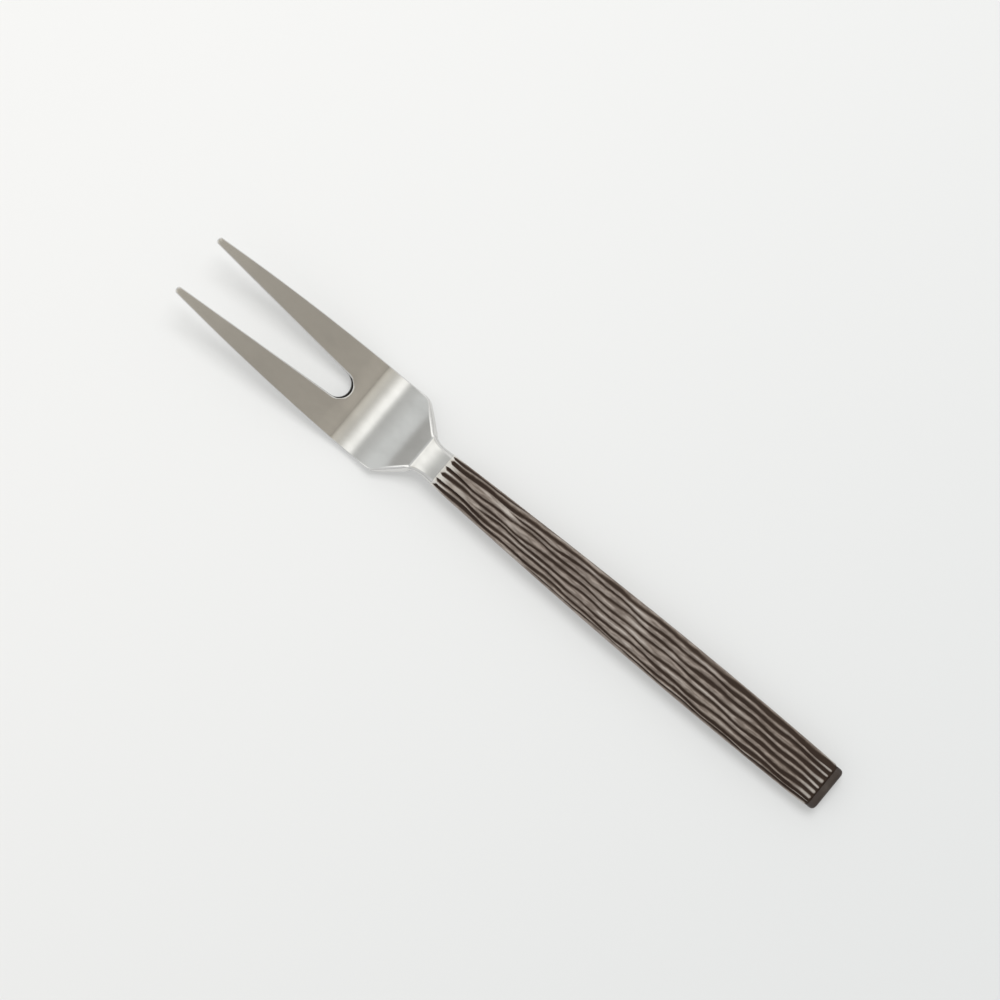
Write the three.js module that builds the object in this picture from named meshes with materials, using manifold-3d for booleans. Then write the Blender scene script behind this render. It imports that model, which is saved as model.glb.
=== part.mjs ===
// Cold meat fork: a pressed steel head with two tines, its tang bedded in a hollow ribbed handle.
// Millimetres, +Z up. +X runs from the tine tips to the end of the handle, +Y across the tines.
// The origin is on the table under the middle of the fork, which lies on its heel and handle end.

import * as THREE from 'three';
import { mergeVertices } from 'three/addons/utils/BufferGeometryUtils.js';
import Module from 'manifold-3d';

const wasm = await Module();
wasm.setup();

// Head blank: lengths along its middle line, widths across it
const TINE_LENGTH = 48.3; // tips to the round root of the slot
const TIP_SPREAD = 15.7; // between the middles of the tips
const TIP_WIDTH = 1.7;
const TIP_FLAT = 0.4; // blunt end of each tip, between its two rounded corners
const TINE_EDGE_BOW = 0.75; // how far the outer edges swell beyond straight lines
const SLOT_ROOT_WIDTH = 6.6;
const HEAD_WIDTH = 23.1;
const HEEL_LENGTH = 4.7; // root of the slot to the first bend
const TAPER_LENGTH = 7.3; // slanted edges from shoulder to neck
const NECK_WAIST_LENGTH = 6.7; // end of the slant to the handle
const NECK_WIDTH = 8.9;
const CORNER_RADIUS = 1.3; // outer corners of the shoulder
const NECK_FILLET = 1.7; // inner corners where the shoulder meets the neck

// Head pressing: thicknesses and bends
const TIP_THICKNESS = 1.4;
const HEAD_THICKNESS = 2.2;
const EDGE_RADIUS = 0.45;
const TINE_RISE = THREE.MathUtils.degToRad(12); // tines climb towards their tips
const HEEL_RADIUS = 14;
const REST_LENGTH = 1.8; // flat under the heel that the fork lies on
const SHOULDER_RADIUS = 24;
const SHOULDER_PITCH = THREE.MathUtils.degToRad(33); // steepest slope up to the neck
const CREST_RADIUS = 2.2;
const NECK_LENGTH = 6.7; // end of the crest bend to the handle
const NECK_DROP = 0.55; // the handle's middle lies this far below the neck's

// Handle outside, measured over the ribs
const HANDLE_LENGTH = 120.3; // ribbed shells, without the end cap
const FRONT_WIDTH = 9.2;
const BELLY_WIDTH = 13.2;
const END_WIDTH = 12.5;
const FRONT_THICKNESS = 4.4;
const BELLY_THICKNESS = 6.1;
const END_THICKNESS = 5.6;
const BELLY_PLACE = 86; // from the front of the handle to its widest place
const HANDLE_CORNER = 1.7; // rounding of the handle's long edges
const WALL = 1;

// Bark ribs: grooves run lengthwise between rounded ribs
const GROOVES = 9; // on each face
const LATE_EVERY = 3; // every third groove opens further down the handle
const LATE_START = 24;
const LATE_RUN = 9;
const GROOVE_DEPTH = 0.45;
const RIB_FLATNESS = 3; // power of the rib's round: higher is a flatter top and a narrower groove
const RUN_OUT = 0.9; // length in which grooves start and ribs end
const FAN_OUT = 45; // length in which the grooves spread to their even places
const LONG_WAVE = 31;
const LONG_SWAY = 0.22;
const SHORT_WAVE = 13.5;
const SHORT_SWAY = 0.12;
const GOLDEN = 0.618; // sets the waves of neighbouring grooves apart, as a share of a turn
const RIPPLE_TURNS = 3; // turns of the short wave's start for one of the long wave's

// End cap, tang and the fits between the pieces
const CAP_LENGTH = 2.1;
const CAP_INSET = 0.25; // the cap stands this far inside the ribs
const CAP_EDGE = 0.7; // rounding of the handle's end
const CAP_SPIGOT_LENGTH = 6;
const NECK_SPIGOT_LENGTH = 12;
const TANG_LENGTH = 64; // beyond the neck spigot
const TANG_STEP = 0.3; // spigot to tang, on the flat faces
const TANG_SIDE_STEP = 1; // spigot to tang, on the edges
const KEY_HOLE_RADIUS = 1.3;
const KEY_HOLE_MARGIN = 14; // from either end of the tang to its key holes
const CLEARANCE = 0.3; // between every two pieces that meet

// Fineness of the curved surfaces
const EDGE_STEPS = 8;
const BEND_STEP = THREE.MathUtils.degToRad(5);
const CORNER_STEPS = 2;
const RIB_STEPS = 4;
const INNER_STEPS = 8;
const HANDLE_STEP = 3.4;
const HOLE_SIDES = 16;
const CUT_DEPTH = 12; // taller than anything that is cut through
const ROUNDING_LIMIT = 0.95; // most of a side that its rounded corner takes up
const LEAST_CORNER = 0.2; // tightest inside corner of a pressing
const SAME_PLACE = 1e-6; // stations nearer than this are one
const SLOPE_PASSES = 8;

// Finishes, a new material for each mesh
function finish(color, roughness, metalness) {
  return new THREE.MeshStandardMaterial({ color, roughness, metalness });
}

const brightSteel = () => finish(0xbdbab4, 0.3, 1);
const blackenedSteel = () => finish(0x4b433e, 0.45, 0.8);
const cement = () => finish(0xb7b0a3, 0.95, 0);

// Closed mesh as a solid for cutting and joining
function toSolid(geometry) {
  geometry.deleteAttribute('normal');
  geometry.deleteAttribute('uv');
  const merged = mergeVertices(geometry);
  const vertProperties = new Float32Array(merged.attributes.position.array);
  const triVerts = new Uint32Array(merged.index.array);
  return new wasm.Manifold(new wasm.Mesh({ numProp: 3, vertProperties, triVerts }));
}

// Solid back to a mesh geometry
function toGeometry(solid) {
  const mesh = solid.getMesh();
  const geometry = new THREE.BufferGeometry();
  geometry.setAttribute('position', new THREE.Float32BufferAttribute(mesh.vertProperties, 3));
  geometry.setIndex(Array.from(mesh.triVerts));
  geometry.computeVertexNormals();
  return geometry;
}

// Skin over a row of rings. A ring's points are (across, above) in the plane square to the station's
// pitch, anticlockwise as seen from the far end.
function loft(stations) {
  const count = stations[0].ring.length;
  const last = (stations.length - 1) * count;
  const positions = [];
  for (const { x, z, pitch, ring } of stations) {
    for (const point of ring) {
      positions.push(x - point.y * Math.sin(pitch), point.x, z + point.y * Math.cos(pitch));
    }
  }
  const index = [];
  for (let row = 0; row < last; row += count) {
    for (let j = 0; j < count; j += 1) {
      const here = row + j;
      const next = row + ((j + 1) % count);
      index.push(here, next, here + count);
      index.push(next, next + count, here + count);
    }
  }
  for (const [a, b, c] of THREE.ShapeUtils.triangulateShape(stations[0].ring, [])) {
    index.push(a, c, b);
  }
  for (const [a, b, c] of THREE.ShapeUtils.triangulateShape(stations.at(-1).ring, [])) {
    index.push(last + a, last + b, last + c);
  }
  const geometry = new THREE.BufferGeometry();
  geometry.setAttribute('position', new THREE.Float32BufferAttribute(positions, 3));
  geometry.setIndex(index);
  geometry.computeVertexNormals();
  return geometry;
}

// Rounded rectangle of half width a and half height b
function roundedRing(a, b, radius) {
  const r = Math.min(radius, ROUNDING_LIMIT * a, ROUNDING_LIMIT * b);
  const ring = [];
  const centres = [[a - r, b - r], [r - a, b - r], [r - a, r - b], [a - r, r - b]];
  centres.forEach(([y, z], corner) => {
    for (let i = 0; i <= CORNER_STEPS; i += 1) {
      const angle = (corner + i / CORNER_STEPS) * Math.PI / 2;
      ring.push(new THREE.Vector2(y + r * Math.cos(angle), z + r * Math.sin(angle)));
    }
  });
  return ring;
}

// Size at a place along the handle: it swells from the front to the belly and draws in to the end
function swell(x, front, belly, end) {
  if (x < BELLY_PLACE) {
    return front + (belly - front) * Math.sin((Math.PI / 2) * Math.max(x, 0) / BELLY_PLACE);
  }
  return belly + (end - belly) * ((x - BELLY_PLACE) / (HANDLE_LENGTH - BELLY_PLACE)) ** 2;
}

const halfWidth = (x) => swell(x, FRONT_WIDTH, BELLY_WIDTH, END_WIDTH) / 2;
const halfThickness = (x) => swell(x, FRONT_THICKNESS, BELLY_THICKNESS, END_THICKNESS) / 2;
const innerCorner = Math.max(HANDLE_CORNER - WALL, LEAST_CORNER);

// The pressed middle line of the head: straight runs and bends, each on from the one before
class PressedLine {
  constructor(pitch) {
    this.runs = [];
    this.end = { t: 0, x: 0, z: 0, pitch };
  }

  straight(length) {
    this.runs.push({ from: this.end, length, turn: 0 });
    this.end = this.at(this.end.t + length);
    return this;
  }

  bend(radius, pitch) {
    const turn = pitch - this.end.pitch;
    this.runs.push({ from: this.end, length: radius * Math.abs(turn), turn });
    this.end = this.at(this.end.t + radius * Math.abs(turn));
    return this;
  }

  at(t) {
    const { from, length, turn } = this.runs.findLast((run) => t >= run.from.t) ?? this.runs[0];
    const along = t - from.t;
    if (turn === 0) {
      const x = from.x + along * Math.cos(from.pitch);
      return { t, x, z: from.z + along * Math.sin(from.pitch), pitch: from.pitch };
    }
    const pitch = from.pitch + turn * along / length;
    const radius = length / turn;
    const x = from.x + radius * (Math.sin(pitch) - Math.sin(from.pitch));
    return { t, x, z: from.z + radius * (Math.cos(from.pitch) - Math.cos(pitch)), pitch };
  }

  // Places where the line has to be followed: the ends of the runs and steps round each bend
  places() {
    return this.runs.flatMap(({ from, length, turn }) => {
      const steps = Math.max(1, Math.ceil(Math.abs(turn) / BEND_STEP));
      return Array.from({ length: steps }, (_, i) => from.t + length * i / steps);
    });
  }
}

// Slope of the handle at which the ribs of its end reach the table
function handleSlope() {
  const run = NECK_LENGTH + HANDLE_LENGTH;
  let slope = 0;
  for (let pass = 0; pass < SLOPE_PASSES; pass += 1) {
    const shoulder = SHOULDER_RADIUS * (1 - Math.cos(SHOULDER_PITCH));
    const crest = CREST_RADIUS * (Math.cos(slope) - Math.cos(SHOULDER_PITCH));
    const height = HEAD_THICKNESS / 2 + shoulder + crest - NECK_DROP * Math.cos(slope);
    slope = Math.asin((height - END_THICKNESS / 2 * Math.cos(slope)) / run);
  }
  return slope;
}

const slope = handleSlope();
const headLine = new PressedLine(-TINE_RISE)
  .straight(TINE_LENGTH + HEEL_LENGTH)
  .bend(HEEL_RADIUS, 0)
  .straight(REST_LENGTH)
  .bend(SHOULDER_RADIUS, SHOULDER_PITCH)
  .bend(CREST_RADIUS, -slope)
  .straight(NECK_LENGTH);
const joint = headLine.end;
const neckStart = joint.t - NECK_LENGTH;
const handleStart = {
  x: joint.x - NECK_DROP * Math.sin(slope),
  z: joint.z - NECK_DROP * Math.cos(slope),
};

// Outer edge of the blank, from the tip of a tine to the handle
function blankEdge() {
  const tip = TIP_SPREAD / 2;
  const tipRadius = TIP_WIDTH / 2;
  const side = HEAD_WIDTH / 2;
  const neck = NECK_WIDTH / 2;
  const tineEnd = TINE_LENGTH + HEEL_LENGTH;
  const slantEnd = joint.t - NECK_WAIST_LENGTH;
  const slantStart = slantEnd - TAPER_LENGTH;
  const slant = new THREE.Vector2(TAPER_LENGTH, neck - side).normalize();
  const edge = new THREE.Path();
  edge.moveTo(0, tip + TIP_FLAT / 2);
  edge.quadraticCurveTo(0, tip + tipRadius, tipRadius, tip + tipRadius);
  const bow = (tip + tipRadius + side) / 2 + TINE_EDGE_BOW;
  edge.quadraticCurveTo((tipRadius + tineEnd) / 2, bow, tineEnd, side);
  edge.lineTo(slantStart - CORNER_RADIUS, side);
  const cornerEnd = slant.clone().multiplyScalar(CORNER_RADIUS);
  edge.quadraticCurveTo(slantStart, side, slantStart + cornerEnd.x, side + cornerEnd.y);
  const filletStart = slant.clone().multiplyScalar(-NECK_FILLET);
  edge.lineTo(slantEnd + filletStart.x, neck + filletStart.y);
  edge.quadraticCurveTo(slantEnd, neck, slantEnd + NECK_FILLET, neck);
  edge.lineTo(joint.t, FRONT_WIDTH / 2);
  return edge.getPoints(EDGE_STEPS);
}

const edgePoints = blankEdge();

// Half width of the blank at a distance from the tips
function blankHalfWidth(t) {
  const next = edgePoints.findIndex((point) => point.x >= t);
  if (next <= 0) return edgePoints.at(next).y;
  const before = edgePoints[next - 1];
  const after = edgePoints[next];
  return THREE.MathUtils.mapLinear(t, before.x, after.x, before.y, after.y);
}

// How far the neck has swelled to the handle at a distance from the tips: ever faster
function neckShare(t) {
  return THREE.MathUtils.clamp((t - neckStart) / NECK_LENGTH, 0, 1) ** 2;
}

// Ring of the head at a distance from the tips: a plate that swells to the handle at the neck,
// downwards more than upwards
function headRing(t) {
  const thinning = THREE.MathUtils.clamp(t / TINE_LENGTH, 0, 1);
  const plate = THREE.MathUtils.lerp(TIP_THICKNESS, HEAD_THICKNESS, thinning);
  const swelling = neckShare(t);
  const thickness = THREE.MathUtils.lerp(plate, FRONT_THICKNESS, swelling);
  const radius = THREE.MathUtils.lerp(EDGE_RADIUS, HANDLE_CORNER, swelling);
  const ring = roundedRing(blankHalfWidth(t), thickness / 2, radius);
  return ring.map((point) => point.setY(point.y - NECK_DROP * swelling));
}

const spigotHalfWidth = FRONT_WIDTH / 2 - WALL - CLEARANCE;
const spigotHalfThickness = FRONT_THICKNESS / 2 - WALL - CLEARANCE;
const tangHalfWidth = spigotHalfWidth - TANG_SIDE_STEP;
const tangHalfThickness = spigotHalfThickness - TANG_STEP;
const tangStart = NECK_SPIGOT_LENGTH;
const tangEnd = tangStart + TANG_LENGTH;
const keyHolePlaces = [tangStart + KEY_HOLE_MARGIN, tangEnd - KEY_HOLE_MARGIN];

// The neck ends in a spigot that the shells close on, and a flat tang goes on from it
function tangStations() {
  const spigot = roundedRing(spigotHalfWidth, spigotHalfThickness, EDGE_RADIUS);
  const tang = roundedRing(tangHalfWidth, tangHalfThickness, EDGE_RADIUS);
  const steps = [[0, spigot], [tangStart, spigot], [tangStart, tang], [tangEnd, tang]];
  return steps.map(([along, ring]) => {
    const x = handleStart.x + along * Math.cos(slope);
    return { x, z: handleStart.z - along * Math.sin(slope), pitch: -slope, ring };
  });
}

// Tapered slot between the tines, with a round root and rounded inner corners at the tips
function slotCutter() {
  const tip = TIP_SPREAD / 2;
  const tipRadius = TIP_WIDTH / 2;
  const rootRadius = SLOT_ROOT_WIDTH / 2;
  const outline = new THREE.Shape();
  outline.moveTo(-CUT_DEPTH, -tip + TIP_FLAT / 2);
  outline.lineTo(0, -tip + TIP_FLAT / 2);
  outline.quadraticCurveTo(0, -tip + tipRadius, tipRadius, -tip + tipRadius);
  outline.absarc(TINE_LENGTH - rootRadius, 0, rootRadius, -Math.PI / 2, Math.PI / 2);
  outline.lineTo(tipRadius, tip - tipRadius);
  outline.quadraticCurveTo(0, tip - tipRadius, 0, tip - TIP_FLAT / 2);
  outline.lineTo(-CUT_DEPTH, tip - TIP_FLAT / 2);
  const settings = { depth: CUT_DEPTH, bevelEnabled: false, curveSegments: EDGE_STEPS };
  const cutter = new THREE.ExtrudeGeometry(outline, settings);
  cutter.translate(0, 0, -CUT_DEPTH / 2);
  cutter.rotateY(TINE_RISE);
  return cutter;
}

// Upright round bar through the handle's middle line, at a place along the handle
function crossBar(along, radius) {
  const bar = new THREE.CylinderGeometry(radius, radius, CUT_DEPTH, HOLE_SIDES);
  bar.rotateX(Math.PI / 2);
  bar.translate(along, 0, 0);
  return bar;
}

// Pressed head with its tang: one steel blank
function forkHead() {
  const places = [...edgePoints.map((point) => point.x), ...headLine.places(), TINE_LENGTH];
  const steps = Array.from({ length: EDGE_STEPS }, (_, i) => neckStart + NECK_LENGTH * i / EDGE_STEPS);
  const sorted = [...places, ...steps].sort((a, b) => a - b);
  const spaced = sorted.filter((t, i) => i === 0 || t - sorted[i - 1] > SAME_PLACE);
  const plate = spaced.map((t) => ({ ...headLine.at(t), ring: headRing(t) }));
  let solid = toSolid(loft([...plate, ...tangStations()]));
  solid = solid.subtract(toSolid(slotCutter()));
  for (const along of keyHolePlaces) {
    const hole = crossBar(along, KEY_HOLE_RADIUS);
    hole.rotateY(slope);
    hole.translate(handleStart.x, 0, handleStart.z);
    solid = solid.subtract(toSolid(hole));
  }
  const mesh = new THREE.Mesh(toGeometry(solid), brightSteel());
  mesh.name = 'fork_head';
  return mesh;
}

// Upper half of a handle section, from the seam on one side over the top to the other seam
function halfSection(a, b, radius) {
  const seam = CLEARANCE / 2;
  const r = Math.min(radius, ROUNDING_LIMIT * (b - seam));
  const path = new THREE.Path();
  path.moveTo(a, seam);
  path.lineTo(a, b - r);
  path.absarc(a - r, b - r, r, 0, Math.PI / 2);
  path.lineTo(r - a, b);
  path.absarc(r - a, b - r, r, Math.PI / 2, Math.PI);
  path.lineTo(-a, seam);
  return path;
}

// Place of a groove round a half section, as a share of the way from seam to seam. Near the front
// only the early grooves are spread evenly, and the late ones lie midway between them.
function groovePlace(k, x, face, girth) {
  const late = (k + 1) % LATE_EVERY === 0;
  const rank = k - Math.floor((k + 1) / LATE_EVERY) + (late ? 0.5 : 0);
  const early = GROOVES - Math.floor(GROOVES / LATE_EVERY);
  const spread = THREE.MathUtils.smoothstep(x, 0, FAN_OUT);
  const base = THREE.MathUtils.lerp((rank + 1) / (early + 1), (k + 1) / (GROOVES + 1), spread);
  const phase = 2 * Math.PI * (((k + face * GROOVES) * GOLDEN) % 1);
  const sway = LONG_SWAY * Math.sin(2 * Math.PI * x / LONG_WAVE + phase);
  const ripple = SHORT_SWAY * Math.sin(2 * Math.PI * x / SHORT_WAVE + RIPPLE_TURNS * phase);
  return base + (sway + ripple) / girth;
}

// Depth of a groove at a place along the handle, as a share of its full depth
function grooveShare(k, x) {
  const start = THREE.MathUtils.smoothstep(x, CLEARANCE, CLEARANCE + RUN_OUT);
  const late = (k + 1) % LATE_EVERY === 0;
  return late ? THREE.MathUtils.smoothstep(x, LATE_START, LATE_START + LATE_RUN) : start;
}

// Point of a section at a share of its length, moved inwards
function insetPoint(section, share, inset) {
  const tangent = section.getTangentAt(share);
  const inward = new THREE.Vector2(-tangent.y, tangent.x);
  return section.getPointAt(share).add(inward.multiplyScalar(inset));
}

// Ribbed outside of a half shell at a place along the handle, from seam to seam
function ribbedPoints(x, face) {
  const section = halfSection(halfWidth(x), halfThickness(x), HANDLE_CORNER);
  const girth = section.getLength();
  const marks = [{ place: 0, share: 0 }];
  for (let k = 0; k < GROOVES; k += 1) {
    marks.push({ place: groovePlace(k, x, face, girth), share: grooveShare(k, x) });
  }
  marks.push({ place: 1, share: 0 });
  const ribEnd = THREE.MathUtils.smoothstep(x, HANDLE_LENGTH - RUN_OUT, HANDLE_LENGTH);
  const endDrop = CAP_INSET * ribEnd;
  const points = [];
  for (let rib = 0; rib < marks.length - 1; rib += 1) {
    for (let i = 0; i < RIB_STEPS; i += 1) {
      const across = i / RIB_STEPS;
      const { place, share } = marks[rib];
      const next = marks[rib + 1];
      const side = across < 0.5 ? share : next.share;
      const dip = side * GROOVE_DEPTH * Math.abs(2 * across - 1) ** RIB_FLATNESS;
      const at = THREE.MathUtils.lerp(place, next.place, across);
      points.push(insetPoint(section, at, Math.max(dip, endDrop)));
    }
  }
  points.push(insetPoint(section, 1, endDrop));
  return points;
}

// Pressed half shell of the handle: face 0 is the upper one, face 1 the lower one turned over
function handleShell(name, face) {
  const turn = face === 0 ? 1 : -1;
  const steps = Math.ceil((HANDLE_LENGTH - 2 * RUN_OUT) / HANDLE_STEP);
  const places = [CLEARANCE];
  for (let i = 0; i <= steps; i += 1) {
    places.push(CLEARANCE + RUN_OUT + (HANDLE_LENGTH - CLEARANCE - 2 * RUN_OUT) * i / steps);
  }
  places.push(HANDLE_LENGTH);
  const stations = places.map((x) => {
    const inner = halfSection(halfWidth(x) - WALL, halfThickness(x) - WALL, innerCorner);
    const outside = ribbedPoints(x, face);
    const inside = inner.getSpacedPoints(INNER_STEPS).reverse();
    const ring = [...outside, ...inside].map((point) => point.multiplyScalar(turn));
    return { x, z: 0, pitch: 0, ring };
  });
  const mesh = new THREE.Mesh(loft(stations), blackenedSteel());
  mesh.name = name;
  return mesh;
}

// Plain cap on the end of the handle, with a spigot inside the shells
function handleEndCap() {
  const a = END_WIDTH / 2;
  const b = END_THICKNESS / 2;
  const start = HANDLE_LENGTH + CLEARANCE;
  const end = HANDLE_LENGTH + CAP_LENGTH;
  const spigotInset = WALL + CLEARANCE;
  const spigot = roundedRing(a - spigotInset, b - spigotInset, innerCorner);
  const bandRing = (inset) => roundedRing(a - inset, b - inset, HANDLE_CORNER);
  const rows = [[HANDLE_LENGTH - CAP_SPIGOT_LENGTH, spigot], [start, spigot]];
  rows.push([start, bandRing(CAP_INSET)]);
  for (let i = 0; i <= 2 * CORNER_STEPS; i += 1) {
    const angle = Math.PI / 2 * i / (2 * CORNER_STEPS);
    const inset = CAP_INSET + CAP_EDGE * (1 - Math.cos(angle));
    rows.push([end - CAP_EDGE * (1 - Math.sin(angle)), bandRing(inset)]);
  }
  const stations = rows.map(([x, ring]) => ({ x, z: 0, pitch: 0, ring }));
  const mesh = new THREE.Mesh(loft(stations), blackenedSteel());
  mesh.name = 'handle_end_cap';
  return mesh;
}

// Cement round the tang, keyed through the tang's holes
function handleFiller() {
  const inset = WALL + CLEARANCE;
  const start = tangStart + CLEARANCE;
  const end = HANDLE_LENGTH - CAP_SPIGOT_LENGTH - CLEARANCE;
  const steps = Math.ceil((end - start) / (2 * HANDLE_STEP));
  const stations = Array.from({ length: steps + 1 }, (_, i) => {
    const x = start + (end - start) * i / steps;
    const ring = roundedRing(halfWidth(x) - inset, halfThickness(x) - inset, innerCorner);
    return { x, z: 0, pitch: 0, ring };
  });
  const pocketLength = TANG_LENGTH + 2 * CLEARANCE;
  const pocketWidth = 2 * (tangHalfWidth + CLEARANCE);
  const pocketDepth = 2 * (tangHalfThickness + CLEARANCE);
  const pocketBox = new THREE.BoxGeometry(pocketLength, pocketWidth, pocketDepth);
  pocketBox.translate(tangStart + TANG_LENGTH / 2, 0, 0);
  let pocket = toSolid(pocketBox);
  for (const along of keyHolePlaces) {
    pocket = pocket.subtract(toSolid(crossBar(along, KEY_HOLE_RADIUS - CLEARANCE)));
  }
  const solid = toSolid(loft(stations)).subtract(pocket);
  const mesh = new THREE.Mesh(toGeometry(solid), cement());
  mesh.name = 'handle_filler';
  return mesh;
}

const handle = new THREE.Group();
handle.add(handleShell('handle_upper_shell', 0));
handle.add(handleShell('handle_lower_shell', 1));
handle.add(handleEndCap());
handle.add(handleFiller());
handle.position.set(handleStart.x, 0, handleStart.z);
handle.rotation.y = slope;

const fork = new THREE.Group();
fork.add(forkHead(), handle);
fork.updateMatrixWorld(true);
const box = new THREE.Box3().setFromObject(fork, true);
fork.position.set(-(box.min.x + box.max.x) / 2, 0, -box.min.z);

const group = new THREE.Group();
group.add(fork);

export default group;
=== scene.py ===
"""Cold meat fork on a pale studio floor: a satin steel head, a ribbed hollow handle and its cap.

Sizes are in millimetres and become metres when a piece is set down in the frame. +X runs from the
tine tips to the end of the handle, +Y across the tines, +Z up. Places closer than HAIR count as the
same, points closer than WELD are joined, and directions whose cosine passes ALIGNED are parallel.
"""

import logging
import math
from collections.abc import Callable, Iterator, Sequence
from contextlib import contextmanager
from dataclasses import dataclass, field
from enum import Enum

import bpy
import numpy as np
from mathutils import Matrix, Vector, noise


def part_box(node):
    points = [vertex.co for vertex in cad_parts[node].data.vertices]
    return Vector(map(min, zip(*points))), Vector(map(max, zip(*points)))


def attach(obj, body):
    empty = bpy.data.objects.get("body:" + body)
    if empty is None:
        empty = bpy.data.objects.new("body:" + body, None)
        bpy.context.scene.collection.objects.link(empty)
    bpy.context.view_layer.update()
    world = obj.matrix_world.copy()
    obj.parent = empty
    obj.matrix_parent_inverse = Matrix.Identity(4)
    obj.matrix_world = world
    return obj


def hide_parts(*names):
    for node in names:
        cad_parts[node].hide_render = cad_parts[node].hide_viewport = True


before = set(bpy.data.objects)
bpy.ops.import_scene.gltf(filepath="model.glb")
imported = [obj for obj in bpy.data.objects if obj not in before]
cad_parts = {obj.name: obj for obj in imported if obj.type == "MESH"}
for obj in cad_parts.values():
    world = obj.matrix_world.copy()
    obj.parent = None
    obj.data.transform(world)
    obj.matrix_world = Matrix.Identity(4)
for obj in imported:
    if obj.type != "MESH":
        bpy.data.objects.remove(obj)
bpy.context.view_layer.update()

MM = 0.001
HAIR = 0.001
WELD = 0.00001
ALIGNED = 0.99
BODY = "root"
LOG = logging.getLogger("cold_meat_fork")

Colour = tuple[float, float, float]
Waves = tuple[float, float, float]
Span = tuple[float, float]


class Part(Enum):
    """What is picked in edit mode."""

    POINT = (True, False, False)
    EDGE = (False, True, False)
    FACE = (False, False, True)


class Face(Enum):
    """Side of the handle that a half shell covers."""

    UPPER = 1
    LOWER = -1


def clamp(value: float) -> float:
    """Hold a value between 0 and 1."""
    return min(max(value, 0.0), 1.0)


def smoothstep(value: float, low: float, high: float) -> float:
    """Ease a value from 0 at low to 1 at high."""
    share = clamp((value - low) / (high - low))
    return share * share * (3 - 2 * share)


def lerp(start: float, end: float, share: float) -> float:
    """Mix two numbers by a share of the second."""
    return start + (end - start) * share


# Shader maths


class Socket:
    """An output of a shader node whose arithmetic adds Math nodes."""

    def __init__(self, graph: "Graph", link: bpy.types.NodeSocket) -> None:
        """Wrap an output of a node in a graph."""
        self.graph = graph
        self.link = link

    def math(self, operation: str, *values: "Socket | float") -> "Socket":
        """Add one Math node with these values as its inputs."""
        return self.graph.node(
            "ShaderNodeMath", {"operation": operation}, dict(enumerate(values))
        )

    def __add__(self, other: "Socket | float") -> "Socket":
        """Sum of two values."""
        return self.math("ADD", self, other)

    __radd__ = __add__

    def __sub__(self, other: "Socket | float") -> "Socket":
        """Difference of two values."""
        return self.math("SUBTRACT", self, other)

    def __rsub__(self, other: float) -> "Socket":
        """A number less this value."""
        return self.math("SUBTRACT", other, self)

    def __mul__(self, other: "Socket | float") -> "Socket":
        """Product of two values."""
        return self.math("MULTIPLY", self, other)

    __rmul__ = __mul__

    def swing(self, amount: float) -> "Socket":
        """Turn noise about 0.5 into an amount to either side of 0."""
        return (self - 0.5) * amount

    def ramp(self, low: float, high: float) -> "Socket":
        """Ease this value from 0 at low to 1 at high."""
        return self.graph.node(
            "ShaderNodeMapRange",
            {"interpolation_type": "SMOOTHSTEP"},
            {0: self, 1: low, 2: high, 3: 0.0, 4: 1.0},
        )


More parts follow.
